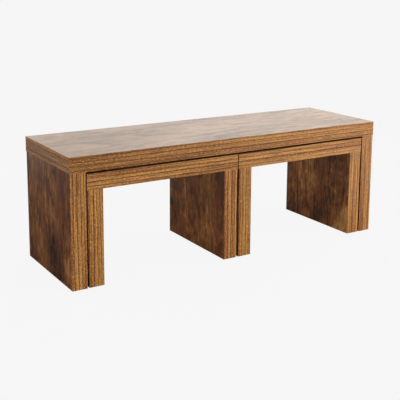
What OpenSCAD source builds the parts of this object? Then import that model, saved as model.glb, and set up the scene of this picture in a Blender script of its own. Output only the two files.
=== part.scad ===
// Nest of tables: a long low table with two equal small tables side by side beneath it.
// Every table is a top on two side panels. The panels are hollow-core boards: two face skins
// on a frame of rails, with a paper core between, and edge bands round the rim.
// Millimetres, +Z up, the front is towards -Y, and the origin is on the floor under the centre.

/* [Long table] */
// Length of the long table, left to right
table_l = 1200; // [900:10:1600]
// Depth of the long table, front to back
table_d = 370; // [300:5:500]
// Height of the long table, floor to top
table_h = 415; // [350:5:550]

/* [Nesting] */
// Air between the long top's underside and the small tops
nest_gap = 7; // [3:0.5:15]
// Air at each end of a small top
side_gap = 4; // [1.5:0.5:8]
// How far the small tables stand behind the long table's front, and short of its back
front_recess = 1; // [0.5:0.5:10]

/* [Panels] */
// Thickness of every top and side panel
panel_t = 50; // [42:1:60]
// Thickness of a face skin
skin_t = 4; // [3:0.5:6]
// Width of the plain rails in a panel's frame
rail_w = 40; // [25:1:55]
// Width of the rails that hold the corner fittings
joint_rail_w = 60; // [52:1:80]
// Thickness of an edge band
band_t = 1; // [0.4:0.1:2]
// How far a top reaches past its side panels at each end
overhang = 2; // [1:0.5:8]

/* [Paper core] */
// Width of a cell of the paper core
cell_w = 40; // [25:1:60]
// Thickness of a paper strip
paper_t = 1; // [0.6:0.1:2]

/* [Dowels] */
// Diameter of a wooden dowel
dowel_d = 8; // [6:0.5:10]
// Length of a dowel, half in the top and half in the side panel
dowel_l = 40; // [24:1:60]
// Distance of a dowel from the front or back of its table
dowel_inset = 95; // [75:1:125]

/* [Cam fittings] */
// Diameter of a cam lock
cam_d = 15; // [13:0.5:17]
// Depth of a cam lock, measured from the side panel's inner face
cam_depth = 12.5; // [11.5:0.1:14]
// Distance of a cam lock from the front or back of its table
cam_inset = 45; // [30:1:65]
// Distance from the underside of the top down to a cam lock's centre
cam_drop = 34; // [26:0.5:40]
// Distance of a cam bolt's axis from the side panel's inner face
bolt_inset = 9; // [8.5:0.1:9.5]
// Diameter of a cam bolt's thread
thread_d = 6; // [5:0.5:7]
// Length of the thread in the top
thread_l = 12; // [8:0.5:20]
// Diameter of a cam bolt's neck
neck_d = 4.5; // [3.5:0.1:5]
// Diameter of the head that the cam lock grips
head_d = 7; // [6:0.1:7.4]
// Height of that head
head_h = 3; // [2:0.1:4]
// Diameter of a cover cap over a cam lock
cap_d = 20; // [18:0.5:24]
// Thickness of a cover cap
cap_t = 0.5; // [0.3:0.1:1]

/* [Glides] */
// Diameter of a floor glide
glide_d = 22; // [14:1:36]
// Height of a floor glide under the side panel
glide_h = 2; // [1.5:0.5:8]
// Distance of a glide from the front or back of its table
glide_inset = 45; // [30:1:80]
// Diameter of a glide's stem
stem_d = 6; // [4:0.5:8]
// Length of a glide's stem
stem_l = 14; // [8:1:20]

/* [Fits] */
// Clearance round a peg, a bolt or a cam in its hole
fit = 0.1; // [0.05:0.05:0.3]

/* [Hidden] */
$fn = 48;

// Rooms for the cam bolt: the hole in the side panel, its stop collar and the slot in the cam
collar_d = thread_d + 1.6;
collar_h = 2.5;
bolt_hole_d = max(collar_d, head_d) + 0.6;
head_slack = 0.6;
cam_recess = 0.2;
driver_slot = [9, 1.6, 1.8];

// Air between neighbouring rows of the paper core
row_gap = 0.5;
// Seam where the end of one rail or band meets the side of the next
seam = 0.1;
// How far a cut runs past the face that it opens
past = 1;

// What the small tables have to fit into
bay_l = table_l - 2 * (overhang + panel_t);
small_l = (bay_l - 3 * side_gap) / 2;
small_d = table_d - 2 * front_recess;
small_h = table_h - panel_t - nest_gap;
small_x = (side_gap + small_l) / 2;

// A table is its name, the place of its centre along X, its length, its depth and its height
NAME = 0;
CENTRE = 1;
LENGTH = 2;
DEPTH = 3;
HEIGHT = 4;
TABLES = [
    ["long_table", 0, table_l, table_d, table_h],
    ["left_table", -small_x, small_l, small_d, small_h],
    ["right_table", small_x, small_l, small_d, small_h],
];

// Every table is made of the same pieces
PIECES = [
    "top_upper_skin", "top_lower_skin", "top_rails", "top_core", "top_bands",
    "left_outer_skin", "left_inner_skin", "left_rails", "left_core", "left_bands",
    "right_outer_skin", "right_inner_skin", "right_rails", "right_core", "right_bands",
    "dowels", "cam_bolts", "cam_locks", "cam_caps", "glides",
];
NODES = [for (t = TABLES) for (piece = PIECES) str(t[NAME], "_", piece)];
node = "all";

LEFT = 0;
RIGHT = 1;

FACE_BROWN = [0.36, 0.23, 0.16];
EDGE_GOLD = [0.64, 0.44, 0.26];
CHIPBOARD = [0.78, 0.67, 0.50];
PAPER = [0.71, 0.60, 0.45];
BEECH = [0.83, 0.68, 0.48];
STEEL = [0.70, 0.71, 0.73];
ZINC = [0.60, 0.61, 0.62];
CAP_BROWN = [0.28, 0.18, 0.12];
GLIDE_BLACK = [0.12, 0.12, 0.12];

// Ranges that the pieces of a table share, each as [low, high] in the table's own frame
function mid(range) = (range[0] + range[1]) / 2;
function inset(range, d) = [range[0] + d, range[1] - d];
function top_x(t) = [-t[LENGTH] / 2, t[LENGTH] / 2];
function deep_y(t) = [-t[DEPTH] / 2, t[DEPTH] / 2];
function joint_z(t) = t[HEIGHT] - panel_t;
function top_z(t) = [joint_z(t), t[HEIGHT]];
function side_x(t) = [overhang - t[LENGTH] / 2, overhang - t[LENGTH] / 2 + panel_t];
function side_z(t) = [glide_h, joint_z(t)];
function board_x(t) = inset(top_x(t), band_t);
function board_y(t) = inset(deep_y(t), band_t);
function board_z(t) = [glide_h + band_t, joint_z(t)];
function bolt_x(t) = side_x(t)[1] - bolt_inset;
function cam_z(t) = joint_z(t) - cam_drop;

// A box that fills three ranges
module block(x, y, z)
    translate([x[0], y[0], z[0]])
        cube([x[1] - x[0], y[1] - y[0], z[1] - z[0]]);

// A round peg standing on z[0] and reaching z[1]
module peg(d, z)
    translate([0, 0, z[0]])
        cylinder(d = d, h = z[1] - z[0]);

// Side pieces are drawn on the left and mirrored for the right
module on_side(side)
    mirror([side, 0, 0])
        children();

module on_both_sides()
    for (side = [LEFT, RIGHT])
        on_side(side)
            children();

// A copy near the front and a copy near the back
module front_and_back(t, from_edge)
    for (y = inset(deep_y(t), from_edge))
        translate([0, y, 0])
            children();

// Corner fittings and their rooms: slack widens a fitting into the hole that it sits in
module dowel_set(t, slack) {
    reach = dowel_l / 2 + slack;
    on_both_sides()
        front_and_back(t, dowel_inset)
            translate([mid(side_x(t)), 0, 0])
                peg(dowel_d + 2 * slack, [joint_z(t) - reach, joint_z(t) + reach]);
}

module bolt_room(t)
    on_both_sides()
        front_and_back(t, cam_inset)
            translate([bolt_x(t), 0, 0]) {
                peg(thread_d + 2 * fit, [joint_z(t) - past, joint_z(t) + thread_l + fit]);
                peg(bolt_hole_d, [cam_z(t), joint_z(t)]);
            }

module cam_set(t, slack)
    on_both_sides()
        front_and_back(t, cam_inset)
            translate([side_x(t)[1] - cam_depth - slack, 0, cam_z(t)])
                rotate([0, 90, 0])
                    cylinder(d = cam_d + 2 * slack, h = cam_depth + (slack > 0 ? slack + past : -cam_recess));

module stem_set(t, slack)
    on_both_sides()
        front_and_back(t, glide_inset)
            translate([mid(side_x(t)), 0, 0])
                peg(stem_d + 2 * slack, [glide_h - slack, glide_h + stem_l + slack]);

// Everything that the boards are drilled for
module fitting_rooms(t) {
    dowel_set(t, fit);
    bolt_room(t);
    cam_set(t, fit);
    stem_set(t, fit);
}

module drilled(t)
    difference() {
        children();
        fitting_rooms(t);
    }

// Folded paper strips that stand on edge between the skins and fill a frame, along u and across v
module paper_strips(u, v, height) {
    folds = max(2, round(u / cell_w));
    rows = max(1, round(v / cell_w));
    fold_l = u / folds;
    row_w = v / rows;
    swing = row_w - row_gap - paper_t;
    for (row = [0:rows - 1]) {
        low = row * row_w + row_gap / 2;
        crest = [for (k = [0:folds]) [k * fold_l, low + ((k + row) % 2) * swing]];
        back = [for (k = [folds:-1:0]) crest[k] + [0, paper_t]];
        linear_extrude(height = height)
            polygon(concat(crest, back));
    }
}

// Top panel
module top_skin(t, z)
    color(FACE_BROWN)
        drilled(t)
            block(board_x(t), board_y(t), z);

module top_upper_skin(t)
    top_skin(t, [t[HEIGHT] - skin_t, t[HEIGHT]]);

module top_lower_skin(t)
    top_skin(t, [joint_z(t), joint_z(t) + skin_t]);

module top_rails(t) {
    x = board_x(t);
    y = board_y(t);
    z = inset(top_z(t), skin_t);
    color(CHIPBOARD)
        drilled(t) {
            block([x[0], x[0] + joint_rail_w], y, z);
            block([x[1] - joint_rail_w, x[1]], y, z);
            block(inset(x, joint_rail_w + seam), [y[0], y[0] + rail_w], z);
            block(inset(x, joint_rail_w + seam), [y[1] - rail_w, y[1]], z);
        }
}

module top_core(t) {
    x = inset(board_x(t), joint_rail_w);
    y = inset(board_y(t), rail_w);
    z = inset(top_z(t), skin_t);
    color(PAPER)
        translate([x[0], y[0], z[0]])
            paper_strips(x[1] - x[0], y[1] - y[0], z[1] - z[0]);
}

module top_bands(t) {
    x = top_x(t);
    y = deep_y(t);
    color(EDGE_GOLD) {
        block(x, [y[0], y[0] + band_t], top_z(t));
        block(x, [y[1] - band_t, y[1]], top_z(t));
        block([x[0], x[0] + band_t], inset(board_y(t), seam), top_z(t));
        block([x[1] - band_t, x[1]], inset(board_y(t), seam), top_z(t));
    }
}

// Side panels
module side_skin(t, side, x)
    color(FACE_BROWN)
        on_side(side)
            drilled(t)
                block(x, board_y(t), board_z(t));

module outer_skin(t, side)
    side_skin(t, side, [side_x(t)[0], side_x(t)[0] + skin_t]);

module inner_skin(t, side)
    side_skin(t, side, [side_x(t)[1] - skin_t, side_x(t)[1]]);

module side_rails(t, side) {
    x = inset(side_x(t), skin_t);
    y = board_y(t);
    z = board_z(t);
    upright_z = [z[0] + rail_w, z[1] - joint_rail_w];
    color(CHIPBOARD)
        on_side(side)
            drilled(t) {
                block(x, y, [upright_z[1], z[1]]);
                block(x, y, [z[0], upright_z[0]]);
                block(x, [y[0], y[0] + rail_w], inset(upright_z, seam));
                block(x, [y[1] - rail_w, y[1]], inset(upright_z, seam));
            }
}

module side_core(t, side) {
    x = inset(side_x(t), skin_t);
    y = inset(board_y(t), rail_w);
    z = [board_z(t)[0] + rail_w, board_z(t)[1] - joint_rail_w];
    color(PAPER)
        on_side(side)
            translate([x[0], y[0], z[0]])
                rotate([90, 0, 90])
                    paper_strips(y[1] - y[0], z[1] - z[0], x[1] - x[0]);
}

module side_bands(t, side) {
    x = side_x(t);
    y = deep_y(t);
    color(EDGE_GOLD)
        on_side(side)
            drilled(t) {
                block(x, [y[0], y[0] + band_t], side_z(t));
                block(x, [y[1] - band_t, y[1]], side_z(t));
                block(x, inset(board_y(t), seam), [glide_h, glide_h + band_t]);
            }
}

// Fittings
module dowels(t)
    color(BEECH)
        dowel_set(t, 0);

module cam_bolts(t)
    color(STEEL)
        on_both_sides()
            front_and_back(t, cam_inset)
                translate([bolt_x(t), 0, 0]) {
                    peg(thread_d, [joint_z(t), joint_z(t) + thread_l]);
                    peg(collar_d, [joint_z(t) - collar_h, joint_z(t)]);
                    peg(neck_d, [cam_z(t) + head_h, joint_z(t) - collar_h]);
                    peg(head_d, [cam_z(t), cam_z(t) + head_h]);
                }

// A cam lock's slots: one for the bolt's neck, a wider one for its head, and a driver cross
module cam_slots(t) {
    behind = [side_x(t)[1] - cam_depth - past, bolt_x(t)];
    face_x = side_x(t)[1] - cam_recess;
    neck = [-neck_d / 2 - head_slack, neck_d / 2 + head_slack];
    head = [-head_d / 2 - head_slack, head_d / 2 + head_slack];
    above = cam_z(t) + cam_d;
    block([behind[0], behind[1] + neck[1]], neck, [cam_z(t), above]);
    block([behind[0], behind[1] + head[1]], head, [cam_z(t) - head_slack, cam_z(t) + head_h + head_slack]);
    for (turn = [0, 90])
        translate([face_x, 0, cam_z(t)])
            rotate([turn, 0, 0])
                cube([2 * driver_slot[2], driver_slot[0], driver_slot[1]], center = true);
}

module cam_locks(t)
    color(ZINC)
        difference() {
            cam_set(t, 0);
            on_both_sides()
                front_and_back(t, cam_inset)
                    cam_slots(t);
        }

module cam_caps(t)
    color(CAP_BROWN)
        on_both_sides()
            front_and_back(t, cam_inset)
                translate([side_x(t)[1], 0, cam_z(t)])
                    rotate([0, 90, 0])
                        cylinder(d = cap_d, h = cap_t);

module glides(t)
    color(GLIDE_BLACK) {
        stem_set(t, 0);
        on_both_sides()
            front_and_back(t, glide_inset)
                translate([mid(side_x(t)), 0, 0])
                    peg(glide_d, [0, glide_h]);
    }

function wanted(t, piece) = node == "all" || node == str(t[NAME], "_", piece);

for (t = TABLES)
    translate([t[CENTRE], 0, 0]) {
        if (wanted(t, "top_upper_skin")) top_upper_skin(t);
        if (wanted(t, "top_lower_skin")) top_lower_skin(t);
        if (wanted(t, "top_rails")) top_rails(t);
        if (wanted(t, "top_core")) top_core(t);
        if (wanted(t, "top_bands")) top_bands(t);
        if (wanted(t, "left_outer_skin")) outer_skin(t, LEFT);
        if (wanted(t, "left_inner_skin")) inner_skin(t, LEFT);
        if (wanted(t, "left_rails")) side_rails(t, LEFT);
        if (wanted(t, "left_core")) side_core(t, LEFT);
        if (wanted(t, "left_bands")) side_bands(t, LEFT);
        if (wanted(t, "right_outer_skin")) outer_skin(t, RIGHT);
        if (wanted(t, "right_inner_skin")) inner_skin(t, RIGHT);
        if (wanted(t, "right_rails")) side_rails(t, RIGHT);
        if (wanted(t, "right_core")) side_core(t, RIGHT);
        if (wanted(t, "right_bands")) side_bands(t, RIGHT);
        if (wanted(t, "dowels")) dowels(t);
        if (wanted(t, "cam_bolts")) cam_bolts(t);
        if (wanted(t, "cam_locks")) cam_locks(t);
        if (wanted(t, "cam_caps")) cam_caps(t);
        if (wanted(t, "glides")) glides(t);
    }
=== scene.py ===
# %% [markdown]
# A nest of tables: one long low table with two small ones beneath it. The shapes come from the
# CAD model, which loads here as a fixed frame. This file adds what the CAD leaves out: the
# printed wood faces, the golden edge banding with its softened corners, the small turned
# fittings, the light, the floor and the camera. Lengths are in metres, the front looks along
# -Y and Z is up.

import itertools
import math

import bpy
from mathutils import Matrix, Vector


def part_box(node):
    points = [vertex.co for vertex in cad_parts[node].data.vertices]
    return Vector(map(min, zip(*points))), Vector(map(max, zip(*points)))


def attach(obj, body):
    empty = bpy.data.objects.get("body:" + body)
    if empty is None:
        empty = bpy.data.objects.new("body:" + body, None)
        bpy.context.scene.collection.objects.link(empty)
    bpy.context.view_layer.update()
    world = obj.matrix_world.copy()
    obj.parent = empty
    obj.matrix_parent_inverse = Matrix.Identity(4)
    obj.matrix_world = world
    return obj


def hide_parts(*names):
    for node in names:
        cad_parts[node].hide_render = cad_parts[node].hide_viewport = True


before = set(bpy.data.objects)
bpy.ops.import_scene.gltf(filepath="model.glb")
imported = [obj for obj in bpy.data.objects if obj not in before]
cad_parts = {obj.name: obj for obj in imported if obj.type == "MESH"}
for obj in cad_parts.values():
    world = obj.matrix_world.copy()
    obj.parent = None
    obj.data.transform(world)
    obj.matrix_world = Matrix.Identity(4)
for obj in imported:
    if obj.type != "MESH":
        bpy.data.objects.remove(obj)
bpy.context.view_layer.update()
scene = bpy.context.scene

TABLES = ["long_table", "left_table", "right_table"]

print("nodes:", len(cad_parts))

# %% [markdown]
# The camera stands front left, a little above the top. Its place was solved from the corners of
# the tables in the photograph. A photograph of furniture is often taken with a level camera and
# a shifted lens, so that upright edges stay nearly upright. Blender's shift does the same. It
# is kept small, because the shift also moves the object in pictures from other sides.

# %% The camera
CAMERA_PLACE = Vector((-1.4804, -2.3414, 0.9419))
CAMERA_YAW = math.radians(31.646)
CAMERA_PITCH = math.radians(10.176)
CAMERA_ROLL = math.radians(0.338)

camera_data = bpy.data.cameras.new("camera")
camera_data.sensor_width = 36
camera_data.lens = 72.66
camera_data.shift_y = -0.2
camera_data.clip_start = 0.05

camera = bpy.data.objects.new("camera", camera_data)
scene.collection.objects.link(camera)
camera.matrix_world = (
    Matrix.Translation(CAMERA_PLACE)
    @ Matrix.Rotation(-CAMERA_YAW, 4, "Z")
    @ Matrix.Rotation(math.pi / 2 - CAMERA_PITCH, 4, "X")
    @ Matrix.Rotation(CAMERA_ROLL, 4, "Z")
)
scene.camera = camera
looks_along = camera.matrix_world.to_3x3() @ Vector((0, 0, -1))
print("camera looks along", [round(v, 3) for v in looks_along])

# %% [markdown]
# Materials, the sky and repeated shapes are all built from nodes. Written one node at a time
# that is long and hard to read, so two small helpers come first. A Wire is one output of a
# node: with Python's own signs on it, `1 - mask * 0.5` adds its Math nodes. A Graph adds nodes
# to one tree, from a type, its settings and the values or wires of its inputs.

# %% Wires: arithmetic on node outputs
class Wire:
    """One output of a node, which takes + - * / and ** as a number does."""

    def __init__(self, graph, socket):
        self.graph = graph
        self.socket = socket

    def other(self, name):
        """Another output of the same node."""
        return Wire(self.graph, self.socket.node.outputs[name])

    def __add__(self, value):
        return self.graph.maths("ADD", self, value)

    def __sub__(self, value):
        return self.graph.maths("SUBTRACT", self, value)

    def __rsub__(self, value):
        return self.graph.maths("SUBTRACT", value, self)

    def __mul__(self, value):
        return self.graph.maths("MULTIPLY", self, value)

    def __truediv__(self, value):
        return self.graph.maths("DIVIDE", self, value)

    def __pow__(self, value):
        return self.graph.maths("POWER", self, value)

    __radd__ = __add__
    __rmul__ = __mul__


# %% Graph: adding nodes to a tree
class Graph:
    """Adds nodes to one tree. Every method returns the Wire that comes out."""

    def __init__(self, tree):
        self.tree = tree
        self.tree.nodes.clear()

    def add(self, kind, settings=None, inputs=None, output=0):
        """One node: its type, then its settings, then the values or wires of its inputs."""
        node = self.tree.nodes.new(kind)
        for name, value in (settings or {}).items():
            if name == "stops":
                self.set_stops(node.color_ramp, value)
            else:
                setattr(node, name, value)
        for key, value in (inputs or {}).items():
            if isinstance(value, Wire):
                self.tree.links.new(value.socket, node.inputs[key])
            else:
                node.inputs[key].default_value = value
        return Wire(self, node.outputs[output]) if len(node.outputs) else None

    @staticmethod
    def set_stops(ramp, stops):
        """Gives a colour ramp its stops, as (position, colour) pairs in rising order."""
        while len(ramp.elements) < len(stops):
            ramp.elements.new(1.0)
        for element, (position, colour) in zip(ramp.elements, stops):
            element.position = position
            element.color = colour

    def maths(self, operation, *values):
        """A Math node, with its values in the order of its inputs."""
        return self.add("ShaderNodeMath", {"operation": operation}, dict(enumerate(values)))

    def vectors(self, operation, *values):
        """A Vector Math node whose result is a vector."""
        return self.add("ShaderNodeVectorMath", {"operation": operation}, dict(enumerate(values)))

    def parts(self, vector):
        """The x, y and z of a vector."""
        x = self.add("ShaderNodeSeparateXYZ", inputs={0: vector})
        return x, x.other("Y"), x.other("Z")

    def vector(self, x, y, z):
        """A vector made of three numbers."""
        return self.add("ShaderNodeCombineXYZ", inputs={0: x, 1: y, 2: z})


# %% [markdown]
# A few more steps are used again and again in the finishes below. A smooth step turns a value
# into a mask from 0 to 1. A mix lays one colour over another by such a mask, and a glaze does
# both at once. A noise gives random patches, and stretching its coordinates makes them long and
# thin, as wood grain is.

# %% Masks, mixes and stretched noise
# A Mix node has sockets of the same names for numbers, vectors and colours, so the ones for
# colours are taken by their places.
MIX_BELOW = 6
MIX_ABOVE = 7
MIX_RESULT = 2


def smooth_step(value, low, high):
    """0 below low and 1 above high, with a soft change between. High may be the lower one."""
    return value.graph.add(
        "ShaderNodeMapRange",
        {"interpolation_type": "SMOOTHSTEP"},
        {"Value": value, "From Min": low, "From Max": high},
    )


def mix_colours(mask, below, above):
    """The colour above laid over the colour below where the mask is 1."""
    return mask.graph.add(
        "ShaderNodeMix",
        {"data_type": "RGBA"},
        {0: mask, MIX_BELOW: below, MIX_ABOVE: above},
        output=MIX_RESULT,
    )


def glaze(below, tint, value, start, full, strength):
    """A tint over a colour: none where the value is at start, and up to a strength at full."""
    return mix_colours(smooth_step(value, start, full) * strength, below, tint)


def noise(place, stretch, detail=2.0, roughness=0.5):
    """Random values around 0.5, in patches that are 1 / stretch metres long in each direction."""
    stretched = place.graph.vectors("MULTIPLY", place, stretch)
    return place.graph.add(
        "ShaderNodeTexNoise",
        inputs={"Vector": stretched, "Scale": 1.0, "Detail": detail, "Roughness": roughness},
    )


def paint(red, green, blue):
    """A colour from 0 to 255, as a paint chart gives it, in the linear numbers of shaders."""
    linear = [((v / 255 + 0.055) / 1.055) ** 2.4 for v in (red, green, blue)]
    return (*linear, 1.0)


def grey(level):
    """An even grey, from 0 to 1 in the linear numbers of shaders."""
    return (level, level, level, 1.0)


# %% [markdown]
# The light of a photo studio is mostly white walls and big soft lamps. A panorama picture of
# such a room could light the scene, but this file reads no pictures, so the sky's own nodes
# paint the room: dim all round, with three bright walls that fade softly at their edges. Two of
# them stand behind the tables, where the satin tops mirror them into the camera, so that the
# dark print looks washed out, as it does in the photograph. The third brightens the front edges
# toward the right end. The camera itself sees one even light grey behind the tables.

# %% The sky
BACKDROP = paint(246, 246, 246)
DIM_ROOM = (0.38, 0.39, 0.41, 1.0)

# For each bright wall: the way to its middle, how nearly a direction must agree with that way
# for the wall to begin (the cosine of the angle between them), and its light.
BRIGHT_WALLS = {
    "front right": ((0.75, -0.66, 0.05), 0.78, (2.10, 2.10, 2.10, 1.0)),
    "back left": ((-0.35, 0.92, 0.15), 0.60, (2.56, 2.26, 1.88, 1.0)),
    "back right": ((0.74, 0.65, 0.17), 0.72, (2.33, 2.20, 1.98, 1.0)),
}

world = bpy.data.worlds.new("studio")
world.use_nodes = True
scene.world = world
sky = Graph(world.node_tree)
direction = sky.add("ShaderNodeTexCoord", output="Generated")


def toward(way):
    """How nearly the sky's direction agrees with a way: 1 where it does, 0 at right angles."""
    return sky.add(
        "ShaderNodeVectorMath",
        {"operation": "DOT_PRODUCT"},
        {0: direction, 1: Vector(way).normalized()},
        output="Value",
    )


room = DIM_ROOM
for way, edge, wall_light in BRIGHT_WALLS.values():
    room = mix_colours(smooth_step(toward(way), edge, 1.0), room, wall_light)
in_view = sky.add("ShaderNodeLightPath", output="Is Camera Ray")
shown = mix_colours(in_view, room, BACKDROP)
background = sky.add("ShaderNodeBackground", inputs={"Color": shown, "Strength": 1.0})
sky.add("ShaderNodeOutputWorld", inputs={"Surface": background})
scene.view_settings.view_transform = "Standard"
print("bright walls:", ", ".join(BRIGHT_WALLS))

# %% [markdown]
# Three soft lamps add to the walls: a wide one overhead, which lights the tops, one at the front
# right, which brightens the front edges toward that end, and one at the front left, which
# reaches in under the tables to the side panels. Small lamps or a sun would throw hard shadows,
# which the photograph doesn't have, so each is a broad rectangle. They are hidden from the
# camera and from reflections, where only the walls show.

# %% The lamps
def soft_lamp(name, place, target, width, height, watts):
    """A rectangular lamp at a place, turned to face a target."""
    lamp = bpy.data.lights.new(name, "AREA")
    lamp.shape = "RECTANGLE"
    lamp.size = width
    lamp.size_y = height
    lamp.energy = watts
    holder = bpy.data.objects.new(name, lamp)
    scene.collection.objects.link(holder)
    way = Vector(target) - Vector(place)
    turn = way.to_track_quat("-Z", "Y").to_matrix().to_4x4()
    holder.matrix_world = Matrix.Translation(place) @ turn
    holder.visible_camera = False
    holder.visible_glossy = False
    print(name, "is", round(way.length, 2), "m from what it lights")


soft_lamp("overhead_lamp", (0.2, -0.2, 2.6), (0.0, 0.0, 0.4), width=3.0, height=2.0, watts=17)
soft_lamp("front_lamp", (1.7, -1.5, 1.0), (0.6, -0.2, 0.2), width=1.0, height=1.0, watts=31)
soft_lamp("left_lamp", (-2.25, -2.9, 0.65), (0.0, 0.0, 0.2), width=1.6, height=0.8, watts=41)

# %% [markdown]
# The floor is a large pale plane. A plain one would show a horizon and uneven greys, which the
# photograph doesn't have, so this one answers each kind of ray in its own way. To the camera it
# is nearly all even glow, which melts into the backdrop, and only a faint shadow is left under
# the legs. To the light that falls on it, it is a plain darker surface, so that it doesn't
# brighten the tables from below. In reflections it is dark round the tables and grows paler
# toward the walls behind them and at their right, as a floor does near a bright wall.

# %% The floor
FLOOR_REACH = 40
FLOOR_GLOW = 0.98
FLOOR_IN_SHADOW = grey(0.02)
FLOOR_TONE = grey(0.36)
MIRRORED_NEAR = grey(0.08)
MIRRORED_BEHIND = grey(0.62)
MIRRORED_RIGHT = grey(0.95)


def floor_finish():
    """Even grey to the camera, a plain matt surface to the light, and shaded in reflections."""
    material = bpy.data.materials.new("studio_floor")
    material.use_nodes = True
    graph = Graph(material.node_tree)
    glow = graph.add("ShaderNodeEmission", inputs={"Color": BACKDROP, "Strength": FLOOR_GLOW})
    shadow = graph.add("ShaderNodeBsdfDiffuse", inputs={"Color": FLOOR_IN_SHADOW})
    to_camera = graph.add("ShaderNodeAddShader", inputs={0: glow, 1: shadow})
    in_view = graph.add("ShaderNodeLightPath", output="Is Camera Ray")
    x, y = graph.parts(graph.add("ShaderNodeTexCoord", output="Object"))[:2]
    mirrored = mix_colours(smooth_step(y, 0.9, 2.0), MIRRORED_NEAR, MIRRORED_BEHIND)
    mirrored = mix_colours(smooth_step(x, 0.2, 2.0), mirrored, MIRRORED_RIGHT)
    tone = mix_colours(in_view.other("Is Glossy Ray"), FLOOR_TONE, mirrored)
    matt = graph.add("ShaderNodeBsdfDiffuse", inputs={"Color": tone})
    shader = graph.add("ShaderNodeMixShader", inputs={0: in_view, 1: matt, 2: to_camera})
    graph.add("ShaderNodeOutputMaterial", inputs={"Surface": shader})
    return material


def floor_plane(reach):
    """A square floor that reaches as far as given on every side."""
    mesh = bpy.data.meshes.new("floor")
    corners = [(-reach, -reach, 0), (reach, -reach, 0), (reach, reach, 0), (-reach, reach, 0)]
    mesh.from_pydata(corners, [], [(0, 1, 2, 3)])
    mesh.materials.append(floor_finish())
    plane = bpy.data.objects.new("floor", mesh)
    scene.collection.objects.link(plane)
    return plane


floor = floor_plane(FLOOR_REACH)
print("floor:", [round(v, 1) for v in floor.dimensions])

# %% [markdown]
# Every finish starts the same way: a new material with a Principled shader and its output. The
# values that are the same all over a surface are set on the shader's own sockets. Only what
# varies comes from nodes.

# %% A new finish
def new_finish(name):
    """An empty material, and the Graph that fills it."""
    material = bpy.data.materials.new(name)
    material.use_nodes = True
    return material, Graph(material.node_tree)


def surface(graph, **sockets):
    """Ends a material with a Principled shader. A socket's name is given with _ for a space."""
    values = {name.replace("_", " "): value for name, value in sockets.items()}
    shader = graph.add("ShaderNodeBsdfPrincipled", inputs=values)
    graph.add("ShaderNodeOutputMaterial", inputs={"Surface": shader})


def bump(height, distance):
    """A Normal that makes the light fall as if the surface rose by height times distance."""
    return height.graph.add("ShaderNodeBump", inputs={"Height": height, "Distance": distance})


# %% [markdown]
# The wide faces carry a printed foil that looks like old, smoke-stained oak. It could be one
# brown with noise in it, but such a print is built from things that can be named, and it looks
# right when each has its own size: a slow sway of the grain, knots that the grain parts round,
# growth rings, fine fibres, smoky stains, golden and reddish streaks, and marks of a saw.
# First come the coordinates: along the grain, across it, and through the board. The last one is
# stretched, so that every face of every panel gets a print of its own.

# %% Print coordinates, with sway and knots
BOARD_STRETCH = 20.0
KNOT_STRETCH = (1.9, 3.6, 1.0)
KNOT_RANDOMNESS = 0.9
KNOT_PARTING = 0.85
SLOW_SWAY = 0.09
QUICK_SWAY = 0.012


def print_place(graph, along, shift):
    """Object coordinates as (along the grain, across it, through the board), in metres."""
    x, y, z = graph.parts(graph.add("ShaderNodeTexCoord", output="Object"))
    lengthwise, through = (x, z) if along == "x" else (z, x)
    return graph.vector(lengthwise + shift, y, through * BOARD_STRETCH)


def knots(place):
    """Scattered knots: the distance from one, how far to its side, and how near it is."""
    graph = place.graph
    stretched = graph.vectors("MULTIPLY", place, KNOT_STRETCH)
    distance = graph.add(
        "ShaderNodeTexVoronoi",
        inputs={"Vector": stretched, "Scale": 1.0, "Randomness": KNOT_RANDOMNESS},
        output="Distance",
    )
    offset = graph.vectors("SUBTRACT", stretched, distance.other("Position"))
    to_side = graph.parts(offset)[1] / KNOT_STRETCH[1]
    # Each cell has a random colour, and about half of the cells are red enough to hold a knot.
    is_knot = smooth_step(graph.parts(distance.other("Color"))[0], 0.5, 0.52)
    near = smooth_step(distance, 0.42, 0.02) * is_knot
    return distance, to_side, near


def swayed(place, to_side, near):
    """The place again, with its grain swaying slowly and parting round the knots."""
    graph = place.graph
    slow = (noise(place, (1.3, 3.0, 0.8), detail=1.0) - 0.5) * SLOW_SWAY
    quick = (noise(place, (7.0, 9.0, 1.0), detail=1.0) - 0.5) * QUICK_SWAY
    moved = slow + quick - to_side * near * KNOT_PARTING
    return graph.vectors("ADD", place, graph.vector(0.0, moved, 0.0))


# %% [markdown]
# Then the parts of the print, each a mask or a height from 0 to 1. Growth rings are the contour
# lines of a slow noise: where its hills are long and thin, their contours make the pointed
# arches that are seen on sawn boards. The tone is a sum of four noises, from broad clouds to
# threads a few millimetres wide, in shares that add up to 1. One noise with more detail would
# be simpler, but all of its sizes would run the same way and be equally strong.

# %% The parts of the print
RING_COUNT = 12.0
RING_FADE = 2.5
THREAD_SHARE = 0.16
MOTTLING_SHARE = 0.30


def growth_rings(grain):
    """Contour lines of a slow noise, dark on one side and fading on the other."""
    hills = noise(grain, (0.9, 6.0, 0.7), detail=1.0) * RING_COUNT
    return grain.graph.maths("FRACT", hills) ** RING_FADE


def stained_tone(place, grain, broad, fine):
    """From smoky dark to bleached gold. Broad is the clouds' share, and fine thins the streaks."""
    clouds = noise(grain, (3.6, 5.6, 1.0), detail=3.0)
    streaks = noise(grain, (15.0 * fine, 46.0 * fine, 1.0), detail=5.0, roughness=0.62)
    threads = noise(grain, (5.0, 170.0, 1.0), detail=3.0, roughness=0.6)
    mottling = noise(place, (30.0, 62.0, 1.0), detail=5.0, roughness=0.72)
    streak_share = 1 - THREAD_SHARE - MOTTLING_SHARE - broad
    wide = clouds * broad + streaks * streak_share
    return wide + threads * THREAD_SHARE + mottling * MOTTLING_SHARE


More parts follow.
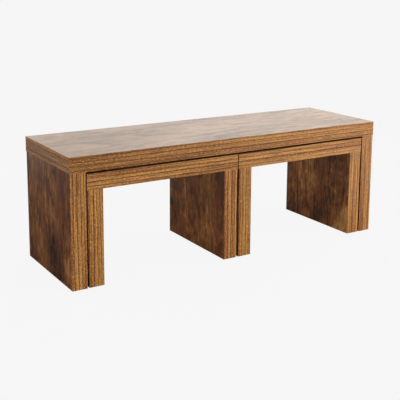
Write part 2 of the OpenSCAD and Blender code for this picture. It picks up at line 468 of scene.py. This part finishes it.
def saw_marks(place):
    """Fine ripples across the grain, in a few patches only."""
    ripples = noise(place, (330.0, 14.0, 1.0), detail=1.0)
    patches = smooth_step(noise(place, (4.0, 6.0, 1.0)), 0.52, 0.66)
    return smooth_step(ripples, 0.5, 0.66) * patches


# %% [markdown]
# The finish itself lays these over each other, from the brown ground up to the knots. The foil
# is satin. Its roughness changes slightly with the fibres and more with the stains, and its
# pores are pressed in a little, which the bump gives. The tops and the side panels share this
# recipe. The tops get a paler, finer print with more gloss, the sides a darker, bolder one.

# %% The rustic print
STAIN_STOPS = [
    (0.38, paint(44, 27, 18)),
    (0.44, paint(74, 47, 30)),
    (0.50, paint(110, 69, 40)),
    (0.56, paint(140, 92, 52)),
    (0.63, paint(174, 127, 78)),
]
RED_BROWN = paint(110, 62, 42)
RING_BROWN = paint(58, 37, 25)
PALE_FLECK = paint(196, 164, 120)

FIBRES_IN_TONE = 0.14
RINGS_IN_TONE = 0.05
KNOTS_IN_TONE = 0.15
SAW_MARKS_SHOW = 0.06
FOIL_ROUGHNESS = 0.40
FOIL_RELIEF = 0.0001


def rustic_print(name, shift, along, contrast, broad, fine, gloss, uneven):
    """Smoke-stained oak print with its grain along x or z.

    Contrast says how far the stains go, gloss how much the foil mirrors, and uneven how much
    duller it is on dark stains than on pale wood. Broad and fine belong to stained_tone.
    """
    material, graph = new_finish(name)
    place = print_place(graph, along, shift)
    distance, to_side, near = knots(place)
    grain = swayed(place, to_side, near)
    fibres = noise(grain, (6.0, 420.0, 1.0), detail=3.0, roughness=0.6)

    tone = (stained_tone(place, grain, broad, fine) - 0.5) * contrast + 0.5
    heart = smooth_step(distance, 0.10, 0.03) * near
    tone = tone + (fibres - 0.5) * FIBRES_IN_TONE
    tone = tone - growth_rings(grain) * RINGS_IN_TONE - heart * KNOTS_IN_TONE
    colour = graph.add("ShaderNodeValToRGB", {"stops": STAIN_STOPS}, {"Fac": tone})

    streaks = noise(grain, (1.6, 11.0, 1.0))
    colour = glaze(colour, RED_BROWN, streaks, 0.46, 0.70, 0.42 * contrast)
    dashes = noise(grain, (40.0, 300.0, 1.0), detail=3.0)
    colour = glaze(colour, RING_BROWN, dashes, 0.42, 0.30, 0.50 * contrast)
    flecks = noise(grain, (26.0, 150.0, 1.0), detail=3.0)
    colour = glaze(colour, PALE_FLECK, flecks, 0.62, 0.78, 0.30 * contrast)
    sawn = saw_marks(place)
    colour = mix_colours(sawn * SAW_MARKS_SHOW, colour, PALE_FLECK)

    surface(
        graph,
        Base_Color=colour,
        Roughness=FOIL_ROUGHNESS - fibres * 0.12 - (tone - 0.5) * uneven,
        Specular_IOR_Level=gloss,
        Normal=bump(smooth_step(fibres, 0.30, 0.45) - sawn * 0.3, FOIL_RELIEF),
    )
    return material


# %% [markdown]
# A real print repeats on its roll, and each panel is cut from another place of it. So each
# table shifts the print along its grain, by a distance that brings a good stretch of it into
# view. One recipe with one number changed is enough for that.

# %% A print for every table
PRINT_SHIFTS = {"long_table": 0.0, "left_table": 2.4, "right_table": 14.8}
TOP_LOOK = {
    "along": "x",
    "contrast": 0.43,
    "broad": 0.26,
    "fine": 1.9,
    "gloss": 0.5,
    "uneven": 0.8,
}
SIDE_LOOK = {
    "along": "z",
    "contrast": 1.36,
    "broad": 0.40,
    "fine": 1.0,
    "gloss": 0.24,
    "uneven": 0.4,
}


def prints_for(panel, look):
    """The print of one kind of panel, for each table from another place of the roll."""
    return {
        table: rustic_print(f"{table}_{panel}_print", shift, **look)
        for table, shift in PRINT_SHIFTS.items()
    }


top_prints = prints_for("top", TOP_LOOK)
side_prints = prints_for("side", SIDE_LOOK)
print("nodes in a print:", len(top_prints["long_table"].node_tree.nodes))

# %% [markdown]
# The edge banding is a golden, straight-grained strip. Each strip is a piece of its own with
# the grain along its length, so its pattern can't follow one axis of the object. The strips
# carry an attribute named grain instead: the place on the strip as (along, across, through), in
# metres. What catches the eye first are thin dark lines. Three or four run side by side over
# the 50 mm width, broken into wavy dashes. Stretched noise alone makes lines at random places,
# so these are the crests of a sine wave, and noise only bends them.

# %% The dark lines of the banding
LINE_PITCH = 0.0125
LINE_BEND = 8.0  # in radians of the wave, as the quiver is
LINE_QUIVER = 0.5


def dark_lines(grain):
    """Thin dark lines along the strip, one at about every pitch, broken into wavy dashes."""
    graph = grain.graph
    across = graph.parts(grain)[1]
    bend = noise(grain, (0.7, 24.0, 1.0), detail=1.0) * LINE_BEND
    quiver = noise(grain, (22.0, 60.0, 1.0), detail=2.0) * LINE_QUIVER
    wave = graph.maths("SINE", across * (2 * math.pi / LINE_PITCH) + (bend + quiver))
    strength = smooth_step(noise(grain, (6.0, 70.0, 1.0), detail=3.0), 0.22, 0.38)
    return smooth_step(wave, 0.70, 0.98) * strength


# %% [markdown]
# The finish starts from two golds in long streaks. Reddish streaks, short golden and brown
# flecks, the dark lines, fine dark threads and pores are glazed over them one by one, so that
# each can be made stronger or weaker by itself. The tone also drifts slowly from golden to
# brown and back, as it does from strip to strip on the photographed tables. Where the drift
# darkens the left end of the long top's front strip and the strip on its left end, that
# darkening is partly the strips' own tone and partly painted shade. The threads, lines and
# pores are pressed in a little, because real banding is embossed.

# %% The edge banding
BAND_LIGHT = paint(188, 132, 66)
BAND_MIDDLE = paint(142, 89, 39)
BAND_RED = paint(135, 71, 35)
BAND_SHADE = paint(96, 54, 20)
BAND_LINE = paint(68, 32, 11)
BAND_PALE = paint(214, 161, 92)
BAND_DARK = paint(52, 26, 10)
BAND_SWAY = 0.006
BAND_ROUGHNESS = 0.50
BAND_RELIEF = 0.00008
DRIFT_LENGTH = 4.378  # metres of banding from one golden stretch to the next


def edge_banding():
    """Golden straight-grained banding that follows the grain attribute."""
    material, graph = new_finish("edge_banding")
    place = graph.add("ShaderNodeAttribute", {"attribute_name": "grain"}, output="Vector")
    sway = (noise(place, (2.5, 10.0, 1.0), detail=1.0) - 0.5) * BAND_SWAY
    grain = graph.vectors("ADD", place, graph.vector(0.0, sway, 0.0))

    tone = noise(grain, (1.5, 90.0, 1.0), detail=2.0, roughness=0.55)
    colour = mix_colours(smooth_step(tone, 0.34, 0.60), BAND_MIDDLE, BAND_LIGHT)
    streaks = noise(grain, (1.3, 45.0, 1.0))
    colour = glaze(colour, BAND_RED, streaks, 0.50, 0.66, 0.66)
    # The drift glazes a darker brown over stretches of the banding. On the long top's front left
    # end and on its left end strip, this is partly the strips' own tone and partly painted shade.
    drift = graph.maths("SINE", graph.parts(place)[0] * (2 * math.pi / DRIFT_LENGTH))
    colour = glaze(colour, BAND_SHADE, drift, 0.2, -1.0, 0.50)
    flecks = noise(place, (120.0, 280.0, 1.0), detail=3.0, roughness=0.7)
    colour = glaze(colour, BAND_LINE, flecks, 0.48, 0.34, 0.68)
    colour = glaze(colour, BAND_PALE, flecks, 0.52, 0.66, 0.68)

    lines = dark_lines(grain)
    colour = mix_colours(lines * 0.84, colour, BAND_LINE)
    threads = noise(grain, (12.0, 380.0, 1.0), detail=4.0, roughness=0.62)
    colour = glaze(colour, BAND_LINE, threads, 0.48, 0.36, 0.75)
    pores = smooth_step(noise(place, (160.0, 900.0, 1.0), detail=1.0), 0.38, 0.26)
    colour = mix_colours(pores * 0.5, colour, BAND_DARK)

    surface(
        graph,
        Base_Color=colour,
        Roughness=BAND_ROUGHNESS - flecks * 0.14,
        Specular_IOR_Level=0.5,
        Normal=bump(threads * 0.4 - pores - lines * 0.5, BAND_RELIEF),
    )
    return material


band_finish = edge_banding()
print("nodes in the banding:", len(band_finish.node_tree.nodes))

# %% [markdown]
# The rest is plainer and mostly hidden inside the panels or under the caps, but it still gets
# its real finish: pressed chips, folded kraft paper, turned beech, bright and dull metal, and
# moulded plastic. All are two tones of one colour, in a noise with a finer grit over it, so one
# function makes them from a few numbers each.

# %% Plain finishes
GRIT_FINENESS = 6  # how much finer the grit is than the tones


def plain_finish(name, light, dark, stretch, roughness, metallic=0.0, relief=0.0001, gloss=0.5):
    """Two tones in a noise of a given stretch, with a fine relief of the same pattern."""
    material, graph = new_finish(name)
    place = graph.add("ShaderNodeTexCoord", output="Object")
    tones = noise(place, stretch, detail=4.0, roughness=0.65)
    grit = noise(place, tuple(GRIT_FINENESS * s for s in stretch), detail=1.0)
    mask = smooth_step(tones + grit * 0.2, 0.45, 0.72)
    surface(
        graph,
        Base_Color=mix_colours(mask, paint(*light), paint(*dark)),
        Roughness=roughness + (tones - 0.5) * 0.2,
        Metallic=metallic,
        Specular_IOR_Level=gloss,
        Normal=bump(tones + grit * 0.3, relief),
    )
    return material


# Each goes by the name of its material slot in the record.
plain_finishes = {
    "chipboard": plain_finish(
        "chipboard",
        light=(200, 168, 122),
        dark=(128, 92, 56),
        stretch=(260, 260, 420),
        roughness=0.8,
        relief=0.0004,
    ),
    "paper_core": plain_finish(
        "kraft_paper",
        light=(176, 138, 94),
        dark=(148, 110, 70),
        stretch=(60, 60, 300),
        roughness=0.85,
    ),
    "beech": plain_finish(
        "beech_dowel",
        light=(214, 172, 124),
        dark=(178, 128, 82),
        stretch=(420, 420, 60),
        roughness=0.6,
    ),
    "bolt_steel": plain_finish(
        "bolt_steel",
        light=(196, 196, 190),
        dark=(150, 148, 142),
        stretch=(300, 300, 90),
        roughness=0.3,
        metallic=1.0,
    ),
    "cam_zinc": plain_finish(
        "cam_zinc",
        light=(168, 168, 166),
        dark=(120, 120, 118),
        stretch=(220, 220, 220),
        roughness=0.45,
        metallic=1.0,
    ),
    "cap_plastic": plain_finish(
        "cap_plastic",
        light=(104, 66, 40),
        dark=(86, 54, 33),
        stretch=(700, 700, 700),
        roughness=0.5,
        gloss=0.2,
    ),
    "glide_plastic": plain_finish(
        "glide_plastic",
        light=(40, 38, 36),
        dark=(28, 26, 25),
        stretch=(700, 700, 700),
        roughness=0.5,
    ),
}
print("plain finishes:", ", ".join(plain_finishes))

# %% [markdown]
# A CAD node keeps its shape and takes a finish in its material slots. The skins of a top have
# their grain along the table, and those of a side panel have it upright.

# %% Finishes on the CAD nodes
def dress(node, material):
    """Puts one finish in every material slot of a CAD node."""
    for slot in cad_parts[node].material_slots:
        slot.material = material


for node, cad_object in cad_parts.items():
    # The frame gives each node a plain material that has the name of its slot in the record.
    record_slot = cad_object.material_slots[0].material.name.split(".")[0]
    table = next(t for t in TABLES if node.startswith(t))
    if record_slot in plain_finishes:
        dress(node, plain_finishes[record_slot])
    elif record_slot == "face_foil":
        prints = top_prints if "_top_" in node else side_prints
        dress(node, prints[table])
    else:
        dress(node, band_finish)
print("dressed", len(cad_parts), "CAD nodes")

# %% [markdown]
# Strips of banding and small round fittings repeat many times, with only their place and size
# changing. They could be copied one by one in Python, but Geometry Nodes are made for this, and
# a tree shows at a glance which sizes can be changed. Each tree takes a handful of points. A
# point says where a copy goes, and carries attributes that say how it is turned and how large
# it is.

# %% Trees that put copies on points
def new_tree(name, sockets):
    """An empty Geometry Nodes tree with named inputs, its Graph, and the wires of the inputs."""
    tree = bpy.data.node_groups.new(name, "GeometryNodeTree")
    graph = Graph(tree)
    tree.interface.new_socket("Geometry", in_out="OUTPUT", socket_type="NodeSocketGeometry")
    for label, kind in sockets.items():
        tree.interface.new_socket(label, in_out="INPUT", socket_type=kind)
    entry = graph.add("NodeGroupInput")
    return tree, graph, {label: entry.other(label) for label in sockets}


def named(graph, attribute, kind):
    """Reads a named attribute."""
    return graph.add(
        "GeometryNodeInputNamedAttribute",
        {"data_type": kind},
        {"Name": attribute},
        output="Attribute",
    )


def stored(graph, geometry, attribute, value, kind, domain="POINT"):
    """The geometry with a value stored on it under a name."""
    return graph.add(
        "GeometryNodeStoreNamedAttribute",
        {"data_type": kind, "domain": domain},
        {"Geometry": geometry, "Name": attribute, "Value": value},
    )


def end_tree(graph, instances, finish_wire, after=None):
    """Makes the copies real, lets a last step work on them, and gives them their finish."""
    real = graph.add("GeometryNodeRealizeInstances", inputs={0: instances})
    if after:
        real = after(real)
    done = graph.add("GeometryNodeSetMaterial", inputs={"Geometry": real, "Material": finish_wire})
    graph.add("NodeGroupOutput", inputs={0: done})


# %% [markdown]
# A strip of banding is a unit cube, scaled to its length, width and thickness and turned to lie
# on its rim. The CAD strips could stay, but their edges are knife sharp, and a sharp edge never
# catches the light. So two attributes are stored on the way. The weight marks the four edges on
# the outside, which a Bevel modifier will soften as a banding trimmer does. The grain is the
# place on the unit cube times the strip's size, plus a step for each strip, so that no two are
# alike.

# %% The banding tree
OUTER_FACE = 0.49  # on the unit cube, only the edges of the outer face lie higher than this
BANDING_INPUTS = {
    "Points": "NodeSocketGeometry",
    "Grain Step": "NodeSocketVector",
    "Finish": "NodeSocketMaterial",
}


def banding_tree():
    """The tree that puts a strip of banding on each point."""
    tree, graph, entry = new_tree("banding_strips", BANDING_INPUTS)
    cube = graph.add("GeometryNodeMeshCube")
    place = graph.add("GeometryNodeInputPosition")
    outside = graph.maths("GREATER_THAN", graph.parts(place)[2], OUTER_FACE)
    cube = stored(graph, cube, "grain", place, "FLOAT_VECTOR")
    cube = stored(graph, cube, "bevel_weight_edge", outside, "FLOAT", "EDGE")
    strips = graph.add(
        "GeometryNodeInstanceOnPoints",
        inputs={
            "Points": entry["Points"],
            "Instance": cube,
            "Rotation": named(graph, "turn", "FLOAT_VECTOR"),
            "Scale": named(graph, "size", "FLOAT_VECTOR"),
        },
    )

    def lay_grain(real):
        """Turns the place on the unit cube into metres on the strip, and adds the step."""
        unit = named(graph, "grain", "FLOAT_VECTOR")
        metres = graph.vectors("MULTIPLY", unit, named(graph, "size", "FLOAT_VECTOR"))
        step = graph.add(
            "ShaderNodeVectorMath",
            {"operation": "SCALE"},
            {0: entry["Grain Step"], "Scale": named(graph, "number", "FLOAT")},
        )
        return stored(graph, real, "grain", graph.vectors("ADD", metres, step), "FLOAT_VECTOR")

    end_tree(graph, strips, entry["Finish"], lay_grain)
    return tree


strips_tree = banding_tree()
print("nodes in the banding tree:", len(strips_tree.nodes))

# %% [markdown]
# The cover caps and the floor glides are both flat turned discs with a rounded outer edge. A
# Screw modifier could turn them from a profile, but a tree keeps their diameter, thickness and
# rounding as named inputs. The disc starts as a cylinder with several rings up its side. Each
# ring is then pulled in by the circle formula, which turns the sharp rim into a quarter round.
# A glide also has a pin behind it, which holds it in the panel.

# %% The disc tree
DISC_SIDES = 48
DISC_RINGS = 6
PIN_SIDES = 24
DISC_INPUTS = {
    "Points": "NodeSocketGeometry",
    "Diameter": "NodeSocketFloat",
    "Thickness": "NodeSocketFloat",
    "Rounding": "NodeSocketFloat",
    "Finish": "NodeSocketMaterial",
}
PIN_INPUTS = {"Pin Diameter": "NodeSocketFloat", "Pin Length": "NodeSocketFloat"}


def rounded_disc(graph, entry):
    """A disc on z = 0 whose top edge is a quarter round."""
    radius = entry["Diameter"] * 0.5
    thickness = entry["Thickness"]
    rounding = entry["Rounding"]
    disc = graph.add(
        "GeometryNodeMeshCylinder",
        inputs={
            "Vertices": DISC_SIDES,
            "Side Segments": DISC_RINGS,
            "Radius": radius,
            "Depth": thickness,
        },
    )
    x, y, z = graph.parts(graph.add("GeometryNodeInputPosition"))
    height = z + thickness * 0.5
    rise = graph.maths("MAXIMUM", height - thickness + rounding, 0.0)
    inside = graph.maths("MAXIMUM", rounding ** 2.0 - rise ** 2.0, 0.0)
    pull = 1 - (rounding - graph.maths("SQRT", inside)) / radius
    turned = graph.vector(x * pull, y * pull, height)
    return graph.add("GeometryNodeSetPosition", inputs={"Geometry": disc, "Position": turned})


def with_pin(graph, entry, disc):
    """The disc with a pin that stands behind it."""
    length = entry["Pin Length"]
    pin = graph.add(
        "GeometryNodeMeshCylinder",
        inputs={"Vertices": PIN_SIDES, "Radius": entry["Pin Diameter"] * 0.5, "Depth": length},
    )
    behind = graph.vector(0.0, 0.0, length * -0.5)
    pin = graph.add("GeometryNodeTransform", inputs={"Geometry": pin, "Translation": behind})
    both = graph.add("GeometryNodeJoinGeometry", inputs={0: disc})
    graph.tree.links.new(pin.socket, both.socket.node.inputs[0])
    return both


def disc_tree(name, pinned=False):
    """The tree that puts a disc on each point, with or without a pin."""
    tree, graph, entry = new_tree(name, {**DISC_INPUTS, **(PIN_INPUTS if pinned else {})})
    shape = rounded_disc(graph, entry)
    if pinned:
        shape = with_pin(graph, entry, shape)
    turn = named(graph, "turn", "FLOAT_VECTOR")
    discs = graph.add(
        "GeometryNodeInstanceOnPoints",
        inputs={"Points": entry["Points"], "Instance": shape, "Rotation": turn},
    )
    end_tree(graph, discs, entry["Finish"])
    return tree


hole_tree = disc_tree("pin_holes")
cap_tree = disc_tree("cover_caps")
glide_tree = disc_tree("floor_glides", pinned=True)
print("nodes in a disc tree:", len(cap_tree.nodes), "and with a pin:", len(glide_tree.nodes))

# %% [markdown]
# A tree runs as a modifier on a small host mesh that holds the points. When it has run, the
# result is copied out as a plain mesh. The host and its modifiers go, and the new piece stands
# at the origin with its place in its vertices, as the CAD nodes do.

# %% Hosts and finished pieces
AXES = [Vector((1, 0, 0)), Vector((0, 1, 0)), Vector((0, 0, 1))]


def turn_to(outward, along):
    """The turn that points a copy's Z outward and its X along."""
    columns = Matrix([along, outward.cross(along), outward]).transposed()
    return Vector(columns.to_euler())


def host_of(name, rows):
    """An object with one vertex for each row, and the row's other values as attributes."""
    mesh = bpy.data.meshes.new(name)
    mesh.from_pydata([row["centre"] for row in rows], [], [])
    for key in rows[0]:
        if key == "centre":
            continue
        kind = "FLOAT" if isinstance(rows[0][key], float) else "FLOAT_VECTOR"
        layer = mesh.attributes.new(key, kind, "POINT")
        for row, cell in zip(rows, layer.data):
            setattr(cell, "value" if kind == "FLOAT" else "vector", row[key])
    host = bpy.data.objects.new(name, mesh)
    scene.collection.objects.link(host)
    return host


def run_tree(host, tree, values):
    """Adds a tree to a host, with its named inputs set."""
    modifier = host.modifiers.new("copies", "NODES")
    modifier.node_group = tree
    for item in tree.interface.items_tree:
        if item.in_out == "INPUT" and item.name in values:
            modifier[item.identifier] = values[item.name]


def plain_piece(name, host):
    """What the host's modifiers make, as a plain mesh in an object of its own."""
    ready = host.evaluated_get(bpy.context.evaluated_depsgraph_get())
    mesh = bpy.data.meshes.new_from_object(ready)
    mesh.name = name
    bpy.data.objects.remove(host)
    piece = bpy.data.objects.new(name, mesh)
    scene.collection.objects.link(piece)
    return piece


# %% [markdown]
# The places of the strips are read from the CAD: the box of a panel's bands less the box of its
# skins gives the thickness, and the rims follow. As in the CAD, a strip at the front or back
# runs the full length of the panel, and the others fit between these two, with a hair of air at
# each end so that no faces coincide.

# %% Where each strip goes
SEAM = 0.0001


def strip_row(outer, board, axis, end, along, full):
    """One strip on the rim at the low (0) or high (1) end of an axis.

    Outer is the box of the bands and board the box of the skins. The strip's length runs along
    another axis, over the full box or over the board's length alone.
    """
    span = outer if full else board
    gap = 0.0 if full else 2 * SEAM
    centre = (outer[0] + outer[1]) / 2
    centre[axis] = (outer[end][axis] + board[end][axis]) / 2
    centre[along] = (span[0][along] + span[1][along]) / 2
    across = 3 - axis - along  # of the axes 0, 1 and 2, the one that is left
    length = span[1][along] - span[0][along] - gap
    width = outer[1][across] - outer[0][across]
    thickness = abs(outer[end][axis] - board[end][axis])
    outward = AXES[axis] * (1 if end else -1)
    return {
        "centre": centre,
        "size": Vector((length, width, thickness)),
        "turn": turn_to(outward, AXES[along]),
    }


def rim_of_top(table):
    """The four strips round a top: front, back, left end and right end."""
    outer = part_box(f"{table}_top_bands")
    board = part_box(f"{table}_top_upper_skin")
    return [
        strip_row(outer, board, axis=1, end=0, along=0, full=True),
        strip_row(outer, board, axis=1, end=1, along=0, full=True),
        strip_row(outer, board, axis=0, end=0, along=1, full=False),
        strip_row(outer, board, axis=0, end=1, along=1, full=False),
    ]


def rim_of_side(table, side):
    """The three strips of a side panel: front, back and bottom."""
    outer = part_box(f"{table}_{side}_bands")
    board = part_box(f"{table}_{side}_outer_skin")
    return [
        strip_row(outer, board, axis=1, end=0, along=2, full=True),
        strip_row(outer, board, axis=1, end=1, along=2, full=True),
        strip_row(outer, board, axis=2, end=0, along=1, full=False),
    ]


print("strip on the long table's front:", rim_of_top("long_table")[0]["size"])

# %% [markdown]
# The caps sit on the inner faces of the side panels and look into the table. The glides sit
# under the side panels and look down. The places of both are read from the boxes of the CAD
# nodes that they replace, so they follow if the CAD changes.

# %% Where each disc goes
CAP_DIAMETER = 0.020
GLIDE_DIAMETER = 0.022


def cap_rows(table):
    """The four caps of a table, one at each end of the left and right side panels."""
    low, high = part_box(f"{table}_cam_caps")
    inset = CAP_DIAMETER / 2
    height = (low.z + high.z) / 2
    return [
        {"centre": Vector((x, y, height)), "turn": turn_to(inward, AXES[1])}
        for x, inward in ((low.x, AXES[0]), (high.x, -AXES[0]))
        for y in (low.y + inset, high.y - inset)
    ]


def glide_rows(table, height):
    """The four places of a table's glides, looking down from a height."""
    low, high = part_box(f"{table}_glides")
    inset = GLIDE_DIAMETER / 2
    return [
        {"centre": Vector((x, y, height)), "turn": turn_to(-AXES[2], AXES[0])}
        for x in (low.x + inset, high.x - inset)
        for y in (low.y + inset, high.y - inset)
    ]


print("first cap of the long table:", cap_rows("long_table")[0]["centre"])

# %% [markdown]
# Now the pieces are made, table by table, with one piece for all the strips of a panel. The
# strips of a side panel are drilled for the pins of the glides with a Boolean, and only then
# are the outer edges softened. A bevel that came first would leave the Boolean more and smaller
# faces to cut.

# %% Make the banding
GRAIN_STEP = (1.37, 0.491, 0.0)
PIN_HOLE = 0.0062
BIT_LENGTH = 0.008
BIT_ROUNDING = 0.00001  # as good as sharp
EDGE_SOFTENING = 0.0004
EDGE_STEPS = 3
strip_numbers = itertools.count()


def drill(host, table):
    """Takes the holes for the glide pins out of the banding under a side panel."""
    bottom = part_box(f"{table}_left_bands")[0].z
    bits = host_of("pin_bits", glide_rows(table, bottom + BIT_LENGTH / 2))
    sizes = {"Diameter": PIN_HOLE, "Thickness": BIT_LENGTH, "Rounding": BIT_ROUNDING}
    run_tree(bits, hole_tree, sizes)
    bits = plain_piece("pin_bits", bits)
    cut = host.modifiers.new("pin_holes", "BOOLEAN")
    cut.operation = "DIFFERENCE"
    cut.object = bits
    return bits


def soften(host):
    """Rounds the edges that carry a bevel weight."""
    bevel = host.modifiers.new("soft_edges", "BEVEL")
    bevel.limit_method = "WEIGHT"
    bevel.width = EDGE_SOFTENING
    bevel.segments = EDGE_STEPS
    bevel.harden_normals = True


def make_banding(table, panel):
    """The strips of one panel, as one piece that stands for the CAD node of its bands."""
    rows = rim_of_top(table) if panel == "top" else rim_of_side(table, panel)
    for row in rows:
        row["number"] = float(next(strip_numbers))
    host = host_of(f"{table}_{panel}_strips", rows)
    run_tree(host, strips_tree, {"Grain Step": GRAIN_STEP, "Finish": band_finish})
    bits = None if panel == "top" else drill(host, table)
    soften(host)
    piece = plain_piece(f"{table}_{panel}_banding", host)
    if bits:
        bpy.data.objects.remove(bits)
    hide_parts(f"{table}_{panel}_bands")
    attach(piece, table)
    print(piece.name, len(piece.data.polygons), "faces")


for table in TABLES:
    for panel in ("top", "left", "right"):
        make_banding(table, panel)

# %% [markdown]
# The caps and the glides come last. The four of one kind and one table are one piece, because
# they stand for one CAD node. Their rims are shaded smooth, and their flat faces stay flat.

# %% Make the caps and the glides
CAP_SIZES = {"Diameter": CAP_DIAMETER, "Thickness": 0.0005, "Rounding": 0.00035}
PIN_DIAMETER = 0.006
GLIDE_ROUNDING = 0.0008


def make_discs(table, kind, node, rows, tree, sizes, slot):
    """The four caps or glides of a table, as one piece that stands for their CAD node."""
    host = host_of(f"{table}_{kind}_points", rows)
    run_tree(host, tree, {**sizes, "Finish": plain_finishes[slot]})
    piece = plain_piece(f"{table}_{kind}", host)
    for face in piece.data.polygons:
        # The rims are rings of four-sided faces, and each flat side is one face with many corners.
        face.use_smooth = len(face.vertices) == 4
    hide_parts(f"{table}_{node}")
    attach(piece, table)
    print(piece.name, len(piece.data.polygons), "faces")


def glide_sizes(table):
    """The sizes of a glide: its disc reaches up to the banding, and its pin into the panel."""
    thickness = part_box(f"{table}_left_bands")[0].z
    return {
        "Diameter": GLIDE_DIAMETER,
        "Thickness": thickness,
        "Rounding": GLIDE_ROUNDING,
        "Pin Diameter": PIN_DIAMETER,
        "Pin Length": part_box(f"{table}_glides")[1].z - thickness,
    }


for table in TABLES:
    caps = cap_rows(table)
    make_discs(table, "cover_caps", "cam_caps", caps, cap_tree, CAP_SIZES, "cap_plastic")
    sizes = glide_sizes(table)
    glides = glide_rows(table, sizes["Thickness"])
    make_discs(table, "floor_glides", "glides", glides, glide_tree, sizes, "glide_plastic")
